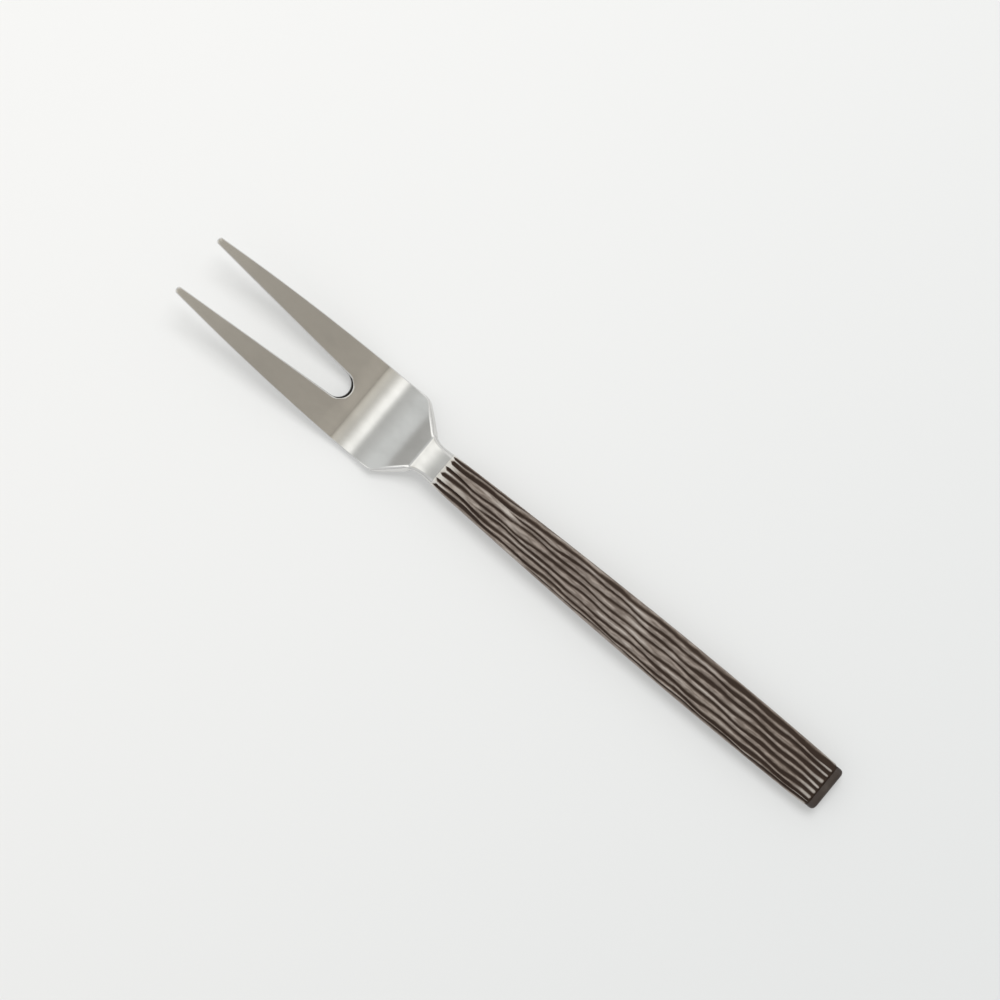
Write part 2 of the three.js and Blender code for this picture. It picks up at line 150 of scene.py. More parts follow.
class Graph:
    """The nodes of one material or of the world."""

    def __init__(self, tree: bpy.types.NodeTree) -> None:
        """Start on an empty node tree."""
        self.tree = tree
        tree.nodes.clear()

    def node(
        self,
        kind: str,
        settings: dict[str, object] | None = None,
        inputs: dict[int | str, object] | None = None,
        output: int | str = 0,
    ) -> Socket:
        """Add a node.

        Args:
            kind: Blender's name of the node type.
            settings: Properties of the node, and "stops" for a colour ramp.
            inputs: Values or links of its sockets, by name or number.
            output: Which output is handed back.

        Returns:
            That output, or the first one, or none where the node closes the graph.
        """
        made = self.tree.nodes.new(kind)
        for name, value in (settings or {}).items():
            if name == "stops":
                self._set_stops(made.color_ramp, value)
            else:
                setattr(made, name, value)
        for name, value in (inputs or {}).items():
            if isinstance(value, Socket):
                self.tree.links.new(value.link, made.inputs[name])
            else:
                made.inputs[name].default_value = value
        return Socket(self, made.outputs[output] if len(made.outputs) else None)

    @staticmethod
    def _set_stops(ramp: bpy.types.ColorRamp, stops: Sequence[tuple[float, Colour]]) -> None:
        """Set the stops of a colour ramp, from its low end to its high one."""
        while len(ramp.elements) < len(stops):
            ramp.elements.new(1.0)
        for element, (place, colour) in zip(ramp.elements, stops):
            element.position = place
            element.color = (*colour, 1.0)

    def mix(self, share: Socket, low: "Socket | Colour", high: "Socket | Colour") -> Socket:
        """Mix two colours by a share of the second."""
        ends = [c if isinstance(c, Socket) else (*c, 1.0) for c in (low, high)]
        inputs = {"Factor": share, 6: ends[0], 7: ends[1]}
        return self.node("ShaderNodeMix", {"data_type": "RGBA"}, inputs, output=2)

    def attribute(self, name: str) -> Socket:
        """Read the number that is stored at a piece's points under a name."""
        return self.node("ShaderNodeAttribute", {"attribute_name": name}, {}, "Fac")

    def axes(self, vector: Socket, names: str) -> list[Socket]:
        """Split a vector into the axes that are named."""
        return [
            self.node("ShaderNodeSeparateXYZ", {}, {"Vector": vector}, name) for name in names
        ]

    def grain(self, scale: Waves, detail: float = 3.0) -> Socket:
        """Noise in Object coordinates.

        Args:
            scale: Waves to a metre along X, Y and Z.
            detail: Octaves of the noise.

        Returns:
            The noise, about 0.5.
        """
        here = self.node("ShaderNodeTexCoord", output="Object")
        there = self.node("ShaderNodeMapping", {}, {"Vector": here, "Scale": scale})
        inputs = {"Vector": there, "Scale": 1.0, "Detail": detail}
        return self.node("ShaderNodeTexNoise", {}, inputs)

    def bump(
        self, height: Socket, strength: float, depth: float, below: Socket | None = None
    ) -> Socket:
        """Normal bent by a height.

        Args:
            height: Relief, from 0 to 1.
            strength: Share of the relief that shows.
            depth: Height of the relief in metres.
            below: Normal that is already bent by a larger relief.

        Returns:
            The bent normal.
        """
        inputs = {"Strength": strength, "Distance": depth, "Height": height}
        if below is not None:
            inputs["Normal"] = below
        return self.node("ShaderNodeBump", {}, inputs)

    def surface(self, **values: object) -> None:
        """Close a material with a Principled shader, whose sockets are named with _ for a space."""
        sockets = {name.replace("_", " "): value for name, value in values.items()}
        shader = self.node("ShaderNodeBsdfPrincipled", {}, sockets)
        self.node("ShaderNodeOutputMaterial", {}, {"Surface": shader})


def new_material(name: str) -> tuple[bpy.types.Material, Graph]:
    """Start a material with an empty graph."""
    material = bpy.data.materials.new(name)
    material.use_nodes = True
    return material, Graph(material.node_tree)


# Finishes


@dataclass(frozen=True)
class SatinSteel:
    """Stainless steel with a fine lengthwise brushing, with painted shade on the wall at the root
    of the slot.
    """

    colour: Colour = (0.74, 0.735, 0.72)
    dull_colour: Colour = (0.66, 0.655, 0.64)
    dull_range: Span = (0.35, 0.75)
    roughness: float = 0.16
    cloud: Waves = (90.0, 160.0, 160.0)
    cloud_roughness: float = 0.054
    brushing: Waves = (120.0, 5200.0, 5200.0)
    line_roughness: float = 0.036
    line_strength: float = 0.35
    line_depth: float = 0.000004
    swell: Waves = (75.0, 75.0, 75.0)
    swell_depth: float = 0.00005
    # Painted shade: the wall at the root of the slot is painted near black, and made rougher.
    root_shade: Colour = (0.030, 0.028, 0.026)
    root_shade_roughness: float = 0.3
    root_shade_reach: Span = (0.0029, 0.0036)
    root_shade_facing: Span = (0.0, 0.15)
    root_shade_back: float = -0.050

    def material(self) -> bpy.types.Material:
        """Make the finish as a material."""
        material, graph = new_material("satin_steel")
        lines = graph.grain(self.brushing, detail=2.0)
        cloud = graph.grain(self.cloud, detail=4.0)
        swell = graph.grain(self.swell, detail=1.0)
        root = self.slot_root(graph)
        colour = graph.mix(cloud.ramp(*self.dull_range), self.colour, self.dull_colour)
        uneven = lines.swing(self.line_roughness) + cloud.swing(self.cloud_roughness)
        swelled = graph.bump(swell, 1.0, self.swell_depth)
        # The slot root's wall gets the painted shade colour.
        graph.surface(
            Base_Color=graph.mix(root, colour, self.root_shade),
            Metallic=1.0,
            Roughness=self.roughness + uneven + root * self.root_shade_roughness,
            Normal=graph.bump(lines, self.line_strength, self.line_depth, swelled),
        )
        return material

    def slot_root(self, graph: Graph) -> Socket:
        """Find the wall at the root of the slot, which gets painted shade: a near-black colour and
        more roughness.

        Args:
            graph: Graph of the material.

        Returns:
            1 on that wall and 0 elsewhere.
        """
        facing = graph.node("ShaderNodeNewGeometry", output="Normal")
        here = graph.node("ShaderNodeTexCoord", output="Object")
        (ahead,) = graph.axes(facing, "X")
        along, across = graph.axes(here, "XY")
        beside = across.math("ABSOLUTE", across).ramp(*self.root_shade_reach)
        before = along.math("LESS_THAN", along, self.root_shade_back)
        return (-1.0 * ahead).ramp(*self.root_shade_facing) * (1.0 - beside) * before


@dataclass(frozen=True)
class BlackenedRibs:
    """Blackened steel whose rib tops are rubbed back to a brown grey.

    A range gives the wear, height or noise at which a tone begins and at which it is full.
    """

    groove: Colour = (0.033, 0.0195, 0.0125)
    flank: Colour = (0.114, 0.087, 0.068)
    flank_range: Span = (0.25, 0.55)
    stained: Colour = (0.250, 0.209, 0.182)
    top: Colour = (0.430, 0.371, 0.330)
    top_range: Span = (0.45, 0.80)
    streaks: Waves = (330.0, 2300.0, 2300.0)
    streak_range: Span = (0.38, 0.66)
    rubbed: Colour = (0.69, 0.643, 0.60)
    rubbed_height: Span = (0.70, 1.0)
    rubbed_patches: Span = (0.50, 0.74)
    least_rubbing: float = 0.3
    # Painted highlight: near-white colour on the rib tops beside the neck and the cap, where the
    # rounded rib ends catch the light.
    rib_end_highlight: Colour = (0.80, 0.785, 0.75)
    rib_end_highlight_height: Span = (0.55, 0.95)
    patches: Waves = (95.0, 520.0, 520.0)
    patch_wear: float = 0.45
    grain: Waves = (700.0, 2400.0, 2400.0)
    grain_wear: float = 0.40
    grain_roughness: float = 0.16
    grain_strength: float = 0.5
    grain_depth: float = 0.00006
    usual_grip: float = 0.66
    grip_wear: float = 0.28
    groove_roughness: float = 0.62
    top_roughness: float = 0.46
    roughness_range: Span = (0.3, 0.85)
    groove_metal: float = 0.55
    metal_range: Span = (0.3, 0.8)

    def material(self) -> bpy.types.Material:
        """Make the finish as a material that reads the shells' own attributes."""
        material, graph = new_material("blackened_ribs")
        height, bright, handled = map(graph.attribute, ("rib", "bright", "handled"))
        patches = graph.grain(self.patches, detail=4.0)
        grain = graph.grain(self.grain)
        streaks = graph.grain(self.streaks)
        worn = height + patches.swing(self.patch_wear) + grain.swing(self.grain_wear)
        worn = worn + (handled - self.usual_grip) * self.grip_wear
        colour = graph.mix(worn.ramp(*self.flank_range), self.groove, self.flank)
        metal = graph.mix(streaks.ramp(*self.streak_range), self.stained, self.top)
        colour = graph.mix(worn.ramp(*self.top_range), colour, metal)
        rubbing = height.ramp(*self.rubbed_height) * patches.ramp(*self.rubbed_patches)
        rubbing = rubbing * (self.least_rubbing + (1 - self.least_rubbing) * handled)
        colour = graph.mix(rubbing, colour, self.rubbed)
        # Paint the highlight of the rib ends onto the rib tops beside the neck and the cap.
        colour = graph.mix(bright * height.ramp(*self.rib_end_highlight_height), colour, self.rib_end_highlight)
        smoother = (self.top_roughness - self.groove_roughness) * worn.ramp(*self.roughness_range)
        graph.surface(
            Base_Color=colour,
            Metallic=self.groove_metal + (1 - self.groove_metal) * worn.ramp(*self.metal_range),
            Roughness=self.groove_roughness + smoother + grain.swing(self.grain_roughness),
            Normal=graph.bump(grain, self.grain_strength, self.grain_depth),
        )
        return material


@dataclass(frozen=True)
class BlackenedCap:
    """Plain blackened steel of the end cap."""

    colour: Colour = (0.071, 0.058, 0.052)
    worn: Colour = (0.102, 0.087, 0.078)
    worn_range: Span = (0.45, 0.75)
    metal: float = 0.8
    roughness: float = 0.42
    cloud: Waves = (260.0, 260.0, 260.0)
    grain: Waves = (1900.0, 1900.0, 1900.0)
    grain_roughness: float = 0.2
    grain_strength: float = 0.4
    grain_depth: float = 0.00002

    def material(self) -> bpy.types.Material:
        """Make the finish as a material."""
        material, graph = new_material("blackened_cap")
        grain = graph.grain(self.grain)
        cloud = graph.grain(self.cloud, detail=4.0)
        graph.surface(
            Base_Color=graph.mix(cloud.ramp(*self.worn_range), self.colour, self.worn),
            Metallic=self.metal,
            Roughness=self.roughness + grain.swing(self.grain_roughness),
            Normal=graph.bump(grain, self.grain_strength, self.grain_depth),
        )
        return material


@dataclass(frozen=True)
class Cement:
    """Gritty cement that beds the tang."""

    pale: Colour = (0.72, 0.69, 0.64)
    grey: Colour = (0.50, 0.475, 0.44)
    pale_range: Span = (0.35, 0.7)
    roughness: float = 0.93
    grit: Waves = (1500.0, 1500.0, 1500.0)
    grit_strength: float = 0.6
    grit_depth: float = 0.00012

    def material(self) -> bpy.types.Material:
        """Make the finish as a material."""
        material, graph = new_material("cement")
        grit = graph.grain(self.grit, detail=5.0)
        graph.surface(
            Base_Color=graph.mix(grit.ramp(*self.pale_range), self.grey, self.pale),
            Roughness=self.roughness,
            Normal=graph.bump(grit, self.grit_strength, self.grit_depth),
        )
        return material


@dataclass(frozen=True)
class PaleFloor:
    """Matt pale paper that the fork lies on, with the light's falloff painted in as a tone darker
    towards +X, and pale again far away.
    """

    pale: Colour = (0.774, 0.774, 0.767)
    # Painted shade: the floor's colour darkens towards +X, where the light falls off.
    painted_falloff_shade: Colour = (0.660, 0.672, 0.674)
    reach: float = 0.24
    roughness: float = 0.9
    gloss: float = 0.1
    glow: float = 0.42
    far: Colour = (0.92, 0.92, 0.915)
    far_reach: Span = (0.20, 0.75)

    def material(self) -> bpy.types.Material:
        """Make the finish as a material that glows a little where it is seen or mirrored."""
        material, graph = new_material("pale_floor")
        here = graph.node("ShaderNodeTexCoord", output="Object")
        (along,) = graph.axes(here, "X")
        colour = graph.mix(along.ramp(-self.reach, self.reach), self.pale, self.painted_falloff_shade)
        matt = {"Roughness": self.roughness, "Specular IOR Level": self.gloss}
        paper = graph.node("ShaderNodeBsdfPrincipled", {}, {"Base Color": colour, **matt})
        away = graph.node("ShaderNodeVectorMath", {"operation": "LENGTH"}, {0: here}, "Value")
        away = away.ramp(*self.far_reach)
        backdrop = graph.mix(away, colour, self.far)
        pale = graph.node("ShaderNodeEmission", {}, {"Color": backdrop, "Strength": 1.0})
        seen = graph.node("ShaderNodeLightPath", output="Is Camera Ray")
        mirrored = graph.node("ShaderNodeLightPath", output="Is Glossy Ray")
        share = seen.math("MAXIMUM", seen, mirrored) * (self.glow + (1 - self.glow) * away)
        shader = graph.node("ShaderNodeMixShader", {}, {0: share, 1: paper, 2: pale})
        graph.node("ShaderNodeOutputMaterial", {}, {"Surface": shader})
        return material


# Bench


class Bench:
    """Steps of hand modelling that every piece uses, in millimetres until it is set down."""

    @staticmethod
    def clear() -> None:
        """Deselect everything in the scene."""
        bpy.ops.object.select_all(action="DESELECT")

    @staticmethod
    def named(name: str) -> bpy.types.Object:
        """Take the primitive that was just added and name it."""
        piece = bpy.context.object
        piece.name = piece.data.name = name
        return piece

    @staticmethod
    @contextmanager
    def editing(
        piece: bpy.types.Object, part: Part, chosen: Callable[..., bool] = lambda *_: True
    ) -> Iterator[None]:
        """Edit mode for as long as the block lasts, with parts of the piece picked.

        Args:
            piece: The piece at work, in object mode.
            part: Kind of part that is picked.
            chosen: Test of a part's middle, with an edge's direction or a face's normal after it.

        Yields:
            Nothing, once the parts that pass the test are picked.
        """
        mesh = piece.data
        for items in (mesh.vertices, mesh.edges, mesh.polygons):
            items.foreach_set("select", np.zeros(len(items), bool))
        if part is Part.POINT:
            for vertex in mesh.vertices:
                vertex.select = chosen(vertex.co)
        elif part is Part.EDGE:
            for edge in mesh.edges:
                a, b = (mesh.vertices[i].co for i in edge.vertices)
                edge.select = chosen((a + b) / 2, (b - a).normalized())
        else:
            for face in mesh.polygons:
                face.select = chosen(face.center, face.normal)
        bpy.context.tool_settings.mesh_select_mode = part.value
        bpy.ops.object.mode_set(mode="EDIT")
        yield
        bpy.ops.object.mode_set(mode="OBJECT")

    @staticmethod
    def draw_out(step: Vector) -> None:
        """Extrude the picked faces by a step, in edit mode."""
        bpy.ops.mesh.extrude_region_move(TRANSFORM_OT_translate={"value": step})

    @staticmethod
    def face_outwards(piece: bpy.types.Object) -> None:
        """Turn all faces of the piece at work outwards."""
        with Bench.editing(piece, Part.FACE):
            bpy.ops.mesh.normals_make_consistent(inside=False)

    @staticmethod
    def modify(piece: bpy.types.Object, kind: str, **settings: object) -> None:
        """Add a modifier and apply it.

        Args:
            piece: The piece.
            kind: Blender's name of the modifier type.
            settings: Properties of the modifier.
        """
        modifier = piece.modifiers.new(kind.title(), kind)
        for name, value in settings.items():
            setattr(modifier, name, value)
        bpy.context.view_layer.objects.active = piece
        bpy.ops.object.modifier_apply(modifier=modifier.name)

    @staticmethod
    def points(piece: bpy.types.Object) -> np.ndarray:
        """Read the places of a piece's points as rows of three."""
        flat = np.empty(3 * len(piece.data.vertices))
        piece.data.vertices.foreach_get("co", flat)
        return flat.reshape(-1, 3)

    @staticmethod
    def move_points(piece: bpy.types.Object, places: np.ndarray) -> None:
        """Put a piece's points in new places."""
        piece.data.vertices.foreach_set("co", places.ravel())
        piece.data.update()

    @staticmethod
    def mark(piece: bpy.types.Object, name: str, values: np.ndarray) -> None:
        """Store one number at each point of a piece, under a name."""
        attribute = piece.data.attributes.new(name, "FLOAT", "POINT")
        attribute.data.foreach_set("value", values.ravel())

    @staticmethod
    def marked(piece: bpy.types.Object, name: str) -> np.ndarray:
        """Read back the number that is stored at each point of a piece."""
        values = np.empty(len(piece.data.vertices))
        piece.data.attributes[name].data.foreach_get("value", values)
        return values

    @staticmethod
    def set_down(piece: bpy.types.Object, place: Matrix) -> None:
        """Turn a piece to its place in the frame and to metres, with all of it in the mesh.

        Args:
            piece: The piece, modelled in millimetres.
            place: Its turn and place, in millimetres.
        """
        Bench.clear()
        piece.select_set(True)
        bpy.context.view_layer.objects.active = piece
        piece.matrix_world = Matrix.Scale(MM, 4) @ place
        bpy.ops.object.transform_apply(location=True, rotation=True, scale=True)
        bpy.ops.object.shade_smooth()

    @staticmethod
    def finish(
        piece: bpy.types.Object, node: str, slot: str, material: bpy.types.Material
    ) -> None:
        """Dress a piece and let it stand for its CAD node.

        Args:
            piece: The finished piece.
            node: CAD node that it replaces.
            slot: Name of its material slot; not used.
            material: Its finish.
        """
        piece.data.materials.clear()
        piece.data.materials.append(material)
        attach(piece, BODY)
        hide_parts(node)
        LOG.info("%s: %d faces", piece.name, len(piece.data.polygons))


# Head


@dataclass
class PressedLine:
    """Middle line of the pressed head in the XZ plane: straight runs and bends in a row."""

    x: float
    z: float
    pitch: float
    length: float = 0.0
    runs: list[tuple[float, float, float, float, float, float]] = field(default_factory=list)

    def run(self, length: float, turn: float = 0.0) -> "PressedLine":
        """Go on from the end of the line.

        Args:
            length: Length of the new run.
            turn: How far it turns upwards, in radians.

        Returns:
            The line, for the next run.
        """
        self.runs.append((self.length, length, turn, self.x, self.z, self.pitch))
        self.x, self.z, self.pitch = self.at(self.length + length)
        self.length += length
        return self

    def bend(self, radius: float, pitch: float) -> "PressedLine":
        """Go on along an arc until the line has a pitch.

        Args:
            radius: Radius of the arc.
            pitch: Pitch at its end, in radians.

        Returns:
            The line, for the next run.
        """
        turn = pitch - self.pitch
        return self.run(radius * abs(turn), turn)

    def at(self, t: float) -> tuple[float, float, float]:
        """Find a place on the line.

        Args:
            t: Distance along it.

        Returns:
            X, Z and the pitch there.
        """
        started = [run for run in self.runs if run[0] <= t] or self.runs[:1]
        start, length, turn, x, z, pitch = started[-1]
        along = t - start
        if turn == 0:
            return x + along * math.cos(pitch), z + along * math.sin(pitch), pitch
        radius = length / turn
        end = pitch + along / radius
        return (
            x + radius * (math.sin(end) - math.sin(pitch)),
            z + radius * (math.cos(pitch) - math.cos(end)),
            end,
        )


@dataclass
class SteelHead:
    """Two tines, heel, shoulder and waisted neck pressed from one blank, and the tang behind."""

    handle: "RibbedHandle"
    tine_length: float = 48.3
    tip_spread: float = 15.7
    tip_width: float = 1.7
    tip_corner: float = 0.6
    edge_bow: float = 1.0
    slot_root_width: float = 6.6
    head_width: float = 23.09
    heel_length: float = 3.35
    taper_length: float = 9.0
    waist_length: float = 5.3
    neck_width: float = 8.9
    corner_radius: float = 1.3
    neck_fillet: float = 2.6
    tip_thickness: float = 1.4
    head_thickness: float = 2.2
    crest_thickness: float = 2.4
    edge_radius: float = 0.26
    fold: float = math.radians(60)
    flare_radius: float = 0.95
    flare_ease: float = 2.0
    root_edge: float = 0.7
    root_ease: float = 1.5
    root_margin: float = 0.1
    tine_rise: float = math.radians(12)
    heel_radii: Span = (7.0, 34.0)
    heel_turn: float = math.radians(9)
    rest_length: float = 0.35
    shoulder_radius: float = 26.6
    shoulder_pitch: float = math.radians(33)
    crest_radius: float = 0.1
    crest_foot: float = 0.05
    neck_length: float = 6.46
    neck_swell: int = 2
    neck_drop: float = 0.55
    spigot_inset: float = 1.3
    spigot_length: float = 12.0
    tang_length: float = 64.0
    tang_width: float = 4.6
    tang_thickness: float = 1.2
    key_hole_radius: float = 1.3
    key_hole_margin: float = 14.0
    key_hole_sides: int = 32
    punch_depth: float = 6.0
    root_turn: float = math.pi / 4
    root_columns: int = 5
    strip_share: float = 0.15
    side_columns: int = 2
    tip_segments: int = 6
    edge_segments: int = 5
    curve_points: int = 15
    first_row: float = 1.2
    tine_rows: int = 14
    arc_rows: int = 6
    root_wall: float = 0.9
    crest_rows: int = 5
    crest_margin: float = 1.2
    row_step: float = 0.42
    slope_rounds: int = 8

    def __post_init__(self) -> None:
        """Work out the pressed line and the outline of the blank."""
        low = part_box("fork_head")[0]
        start_x = low[0] / MM + self.tip_thickness / 2 * math.sin(self.tine_rise)
        drop = self.tine_line(0.0, 0.0).z
        start_z = low[2] / MM + self.head_thickness / 2 - drop
        self.slope = self.handle_slope()
        self.line = self.tine_line(start_x, start_z)
        self.shoulder_start = self.line.length
        self.line.bend(self.shoulder_radius, self.shoulder_pitch)
        crest_start = self.line.length
        self.line.bend(self.crest_radius, -self.slope)
        self.crest = (crest_start, self.line.length)
        self.line.run(self.neck_length)
        self.end = self.line.length
        self.flare_start = self.end - self.waist_length - self.taper_length
        self.root_radius = self.slot_root_width / 2
        self.root_centre = self.tine_length - self.root_radius
        inner_tip = (self.tip_spread - self.tip_width) / 2
        away = math.hypot(self.root_centre, inner_tip)
        lean = math.atan2(inner_tip, self.root_centre)
        self.root_angle = math.pi - lean - math.acos(self.root_radius / away)
        self.edge = self.outline()

    def tine_line(self, x: float, z: float) -> PressedLine:
        """Run down a tine and round the heel, which bends quickly at first and then slowly.

        Args:
            x: Place of the tips along the fork.
            z: Height of the tips.

        Returns:
            The pressed line as far as the shoulder.
        """
        line = PressedLine(x, z, -self.tine_rise).run(self.tine_length + self.heel_length)
        quick, slow = self.heel_radii
        return line.bend(quick, -self.heel_turn).bend(slow, 0.0).run(self.rest_length)

    def handle_slope(self) -> float:
        """Find the slope at which the end of the handle reaches the table.

        Returns:
            The slope downwards, in radians.
        """
        slope = 0.0
        for _ in range(self.slope_rounds):
            rise = self.shoulder_radius * (1 - math.cos(self.shoulder_pitch))
            rise += self.crest_radius * (math.cos(slope) - math.cos(self.shoulder_pitch))
            sunk = (self.neck_drop + self.handle.end_thickness / 2) * math.cos(slope)
            height = self.head_thickness / 2 + rise - sunk
            slope = math.asin(height / (self.neck_length + self.handle.length))
        return slope

    def outline(self) -> np.ndarray:
        """Trace the outer edge of the flat blank from a tip to the handle.

        Returns:
            Rows of distance from the tips and half width.
        """
        tip = (self.tip_spread + self.tip_width) / 2
        side = self.head_width / 2
        neck = self.neck_width / 2
        heel = self.tine_length + self.heel_length
        slant_end = self.end - self.waist_length
        slant = np.array([self.taper_length, neck - side])
        slant = slant / np.linalg.norm(slant)
        corner = np.array([self.flare_start, side])
        fillet = np.array([slant_end, neck])
        ahead = np.array([1.0, 0.0])
        curves = [
            ((0.0, tip), (heel / 2, (tip + side) / 2 + self.edge_bow), (heel, side)),
            (
                corner - self.corner_radius * ahead,
                corner,
                corner + self.corner_radius * slant,
            ),
            (fillet - self.neck_fillet * slant, fillet, fillet + self.neck_fillet * ahead),
        ]
        steps = np.linspace(0, 1, self.curve_points)[:, None]
        traced = []
        for a, b, c in (np.array(curve, float) for curve in curves):
            traced.append((1 - steps) ** 2 * a + 2 * steps * (1 - steps) * b + steps**2 * c)
        traced.append(np.array([[self.end, self.handle.front_width / 2]]))
        return np.concatenate(traced)

    def half_width(self, t: float) -> float:
        """Half width of the blank at a distance from the tips."""
        return float(np.interp(t, self.edge[:, 0], self.edge[:, 1]))

    def slot_half_width(self, t: float) -> float:
        """Half width of the slot at a distance from the tips, up to the round of its root."""
        start = (self.tip_spread - self.tip_width) / 2
        tangent_t = self.root_centre + self.root_radius * math.cos(self.root_angle)
        tangent_y = self.root_radius * math.sin(self.root_angle)
        if t <= tangent_t:
            return lerp(start, tangent_y, t / tangent_t)
        return math.sqrt(max(self.root_radius**2 - (t - self.root_centre) ** 2, 0.0))

    def thickness(self, t: float) -> float:
        """Thickness of the pressed blank at a distance from the tips."""
        share = min(t / self.tine_length, 1.0)
        plate = lerp(self.tip_thickness, self.head_thickness, share)
        risen = smoothstep(t, self.shoulder_start, self.crest[0])
        plate = lerp(plate, self.crest_thickness, risen)
        return lerp(plate, self.handle.front_thickness, self.neck_share(t))

    def neck_share(self, t: float) -> float:
        """How far the blank has swelled to the handle at a distance from the tips."""
        return max(1 - (self.end - t) / self.neck_length, 0.0) ** self.neck_swell

    def middle(self, t: float) -> Vector:
        """Place halfway through the blank's thickness, which sinks as the neck swells."""
        x, z, pitch = self.line.at(t)
        sunk = self.neck_drop * self.neck_share(t)
        return Vector((x + sunk * math.sin(pitch), 0.0, z - sunk * math.cos(pitch)))

    def rows(self) -> tuple[list[float], int]:
        """Distances from the tips at which the blank has a row of points.

        Returns:
            The distances, and the number of the row that holds the root of the slot.
        """
        angles = np.linspace(self.root_angle, self.root_turn, self.arc_rows)
        arc = [self.root_centre + self.root_radius * math.cos(a) for a in angles]
        tine = [0.0, *np.linspace(self.first_row, arc[0], self.tine_rows), *arc[1:]]
        behind = self.tine_length + self.root_wall
        heel = self.tine_length + self.heel_length
        crest_start, crest_end = self.crest
        margin = self.crest_margin * self.row_step
        plate = np.arange(heel, crest_start - margin, self.row_step)
        crest = np.linspace(crest_start, crest_end, self.crest_rows)
        neck = np.arange(crest_end + margin, self.end - self.row_step / 2, self.row_step)
        back = [behind, (behind + heel) / 2, *plate, *crest, *neck, self.end]
        return [*tine, *back], len(tine) - 1

    def flat_blank(self) -> bpy.types.Object:
        """Lay out the flat blank as a sheet, with X as the distance from the tips.

        Returns:
            The sheet, slotted and with rounded tips.
        """
        rows, root = self.rows()
        columns = self.root_columns + self.side_columns
        Bench.clear()
        bpy.ops.mesh.primitive_grid_add(
            x_subdivisions=len(rows) - 1, y_subdivisions=2 * columns, size=2
        )
        sheet = Bench.named("steel_head")
        root_x = -1 + 2 * root / (len(rows) - 1)
        strip = self.root_columns / columns
        corners = (self.slot_half_width(0.0), self.half_width(0.0))

        def in_slot(middle: Vector, _normal: Vector) -> bool:
            """Tell whether a face of the grid lies where the slot is cut."""
            return middle.x < root_x and abs(middle.y) < strip

        def at_corner(place: Vector) -> bool:
            """Tell whether a point is a corner of a tip."""
            return place.x < HAIR and min(abs(abs(place.y) - c) for c in corners) < HAIR

        with Bench.editing(sheet, Part.FACE, in_slot):
            bpy.ops.mesh.delete(type="FACE")
        places = Bench.points(sheet)
        for place in places:
            row = round((place[0] + 1) / 2 * (len(rows) - 1))
            column = round(place[1] * columns)
            place[0], place[1] = self.blank_point(rows, root, row, column)
        Bench.move_points(sheet, places)
        with Bench.editing(sheet, Part.POINT, at_corner):
            bpy.ops.mesh.bevel(
                offset=self.tip_corner,
                affect="VERTICES",
                segments=self.tip_segments,
                clamp_overlap=True,
            )
        return sheet

    def blank_point(
        self, rows: list[float], root: int, row: int, column: int
    ) -> tuple[float, float]:
        """Place of one point of the flat blank.

        Args:
            rows: Distances of the rows from the tips.
            root: Row that holds the root of the slot.
            row: Row of the point.
            column: Column of the point, from the middle line.

        Returns:
            Distance from the tips and place across.
        """
        t = rows[row]
        out = abs(column)
        side = math.copysign(1.0, column)
        outer = self.half_width(t)
        strip = self.root_radius * math.sin(self.root_turn)
        if row < root:
            inner = self.slot_half_width(t)
        else:
            settle = smoothstep(t, rows[root], self.end - self.waist_length)
            inner = lerp(strip, outer * self.strip_share, settle)
        if out >= self.root_columns:
            share = (out - self.root_columns) / self.side_columns
            return t, side * lerp(inner, outer, share)
        share = out / self.root_columns
        if row == root:
            angle = self.root_turn * share
            t = self.root_centre + self.root_radius * math.cos(angle)
            return t, side * self.root_radius * math.sin(angle)
        return t, side * inner * share

    def build(self) -> bpy.types.Object:
        """Press the blank, give it its thickness and rounded edges, and draw out the tang.

        Returns:
            The steel head.
        """
        head = self.flat_blank()
        flat = Bench.points(head)
        Bench.mark(head, "blank", flat[:, 0])
        gauge = head.vertex_groups.new(name="gauge")
        full = self.handle.front_thickness
        pressed = flat.copy()
        for index, (t, y, _) in enumerate(flat):
            pressed[index] = self.middle(t) + Vector((0.0, y, 0.0))
            gauge.add([index], self.thickness(t) / full, "REPLACE")
        Bench.move_points(head, pressed)
        Bench.face_outwards(head)
        Bench.modify(
            head,
            "SOLIDIFY",
            thickness=full,
            offset=0.0,
            use_even_offset=True,
            vertex_group="gauge",
        )
        head.vertex_groups.clear()
        self.square_neck(head)
        self.mitre_crest(head)
        self.round_edges(head)
        self.draw_tang(head)
        Bench.set_down(head, Matrix.Identity(4))
        Bench.modify(head, "WEIGHTED_NORMAL", weight=50, keep_sharp=True)
        return head

    def square_neck(self, head: bpy.types.Object) -> None:
        """Set the rows of the neck square to its line, so that its end meets the handle flat."""
        places = Bench.points(head)
        neck = self.crest[1] + self.row_step / 2
        for place, t in zip(places, Bench.marked(head, "blank")):
            if t > neck:
                half = math.copysign(self.thickness(t) / 2, place[2] - self.middle(t).z)
                x, z, pitch = self.line.at(t)
                rise = half - self.neck_drop * self.neck_share(t)
                place[0] = x - rise * math.sin(pitch)
                place[2] = z + rise * math.cos(pitch)
        Bench.move_points(head, places)

    def mitre_crest(self, head: bpy.types.Object) -> None:
        """Bring the rows under the sharp crest together in one line."""
        start, end = self.crest
        x, z, pitch = self.line.at((start + end) / 2)
        turn = (self.shoulder_pitch + self.slope) / 2
        depth = self.thickness(start) / 2 / math.cos(turn)
        foot = (x + depth * math.sin(pitch), z - depth * math.cos(pitch))
        near = self.crest_foot
        places = Bench.points(head)
        blank = Bench.marked(head, "blank")
        under = (blank > start - near) & (blank < end + near) & (places[:, 2] < z)
        places[under, 0], places[under, 2] = foot
        Bench.move_points(head, places)

        def at_foot(place: Vector) -> bool:
            """Tell whether a point was brought to the line under the crest."""
            return math.hypot(place.x - foot[0], place.z - foot[1]) < HAIR

        with Bench.editing(head, Part.POINT, at_foot):
            bpy.ops.mesh.remove_doubles(threshold=near)

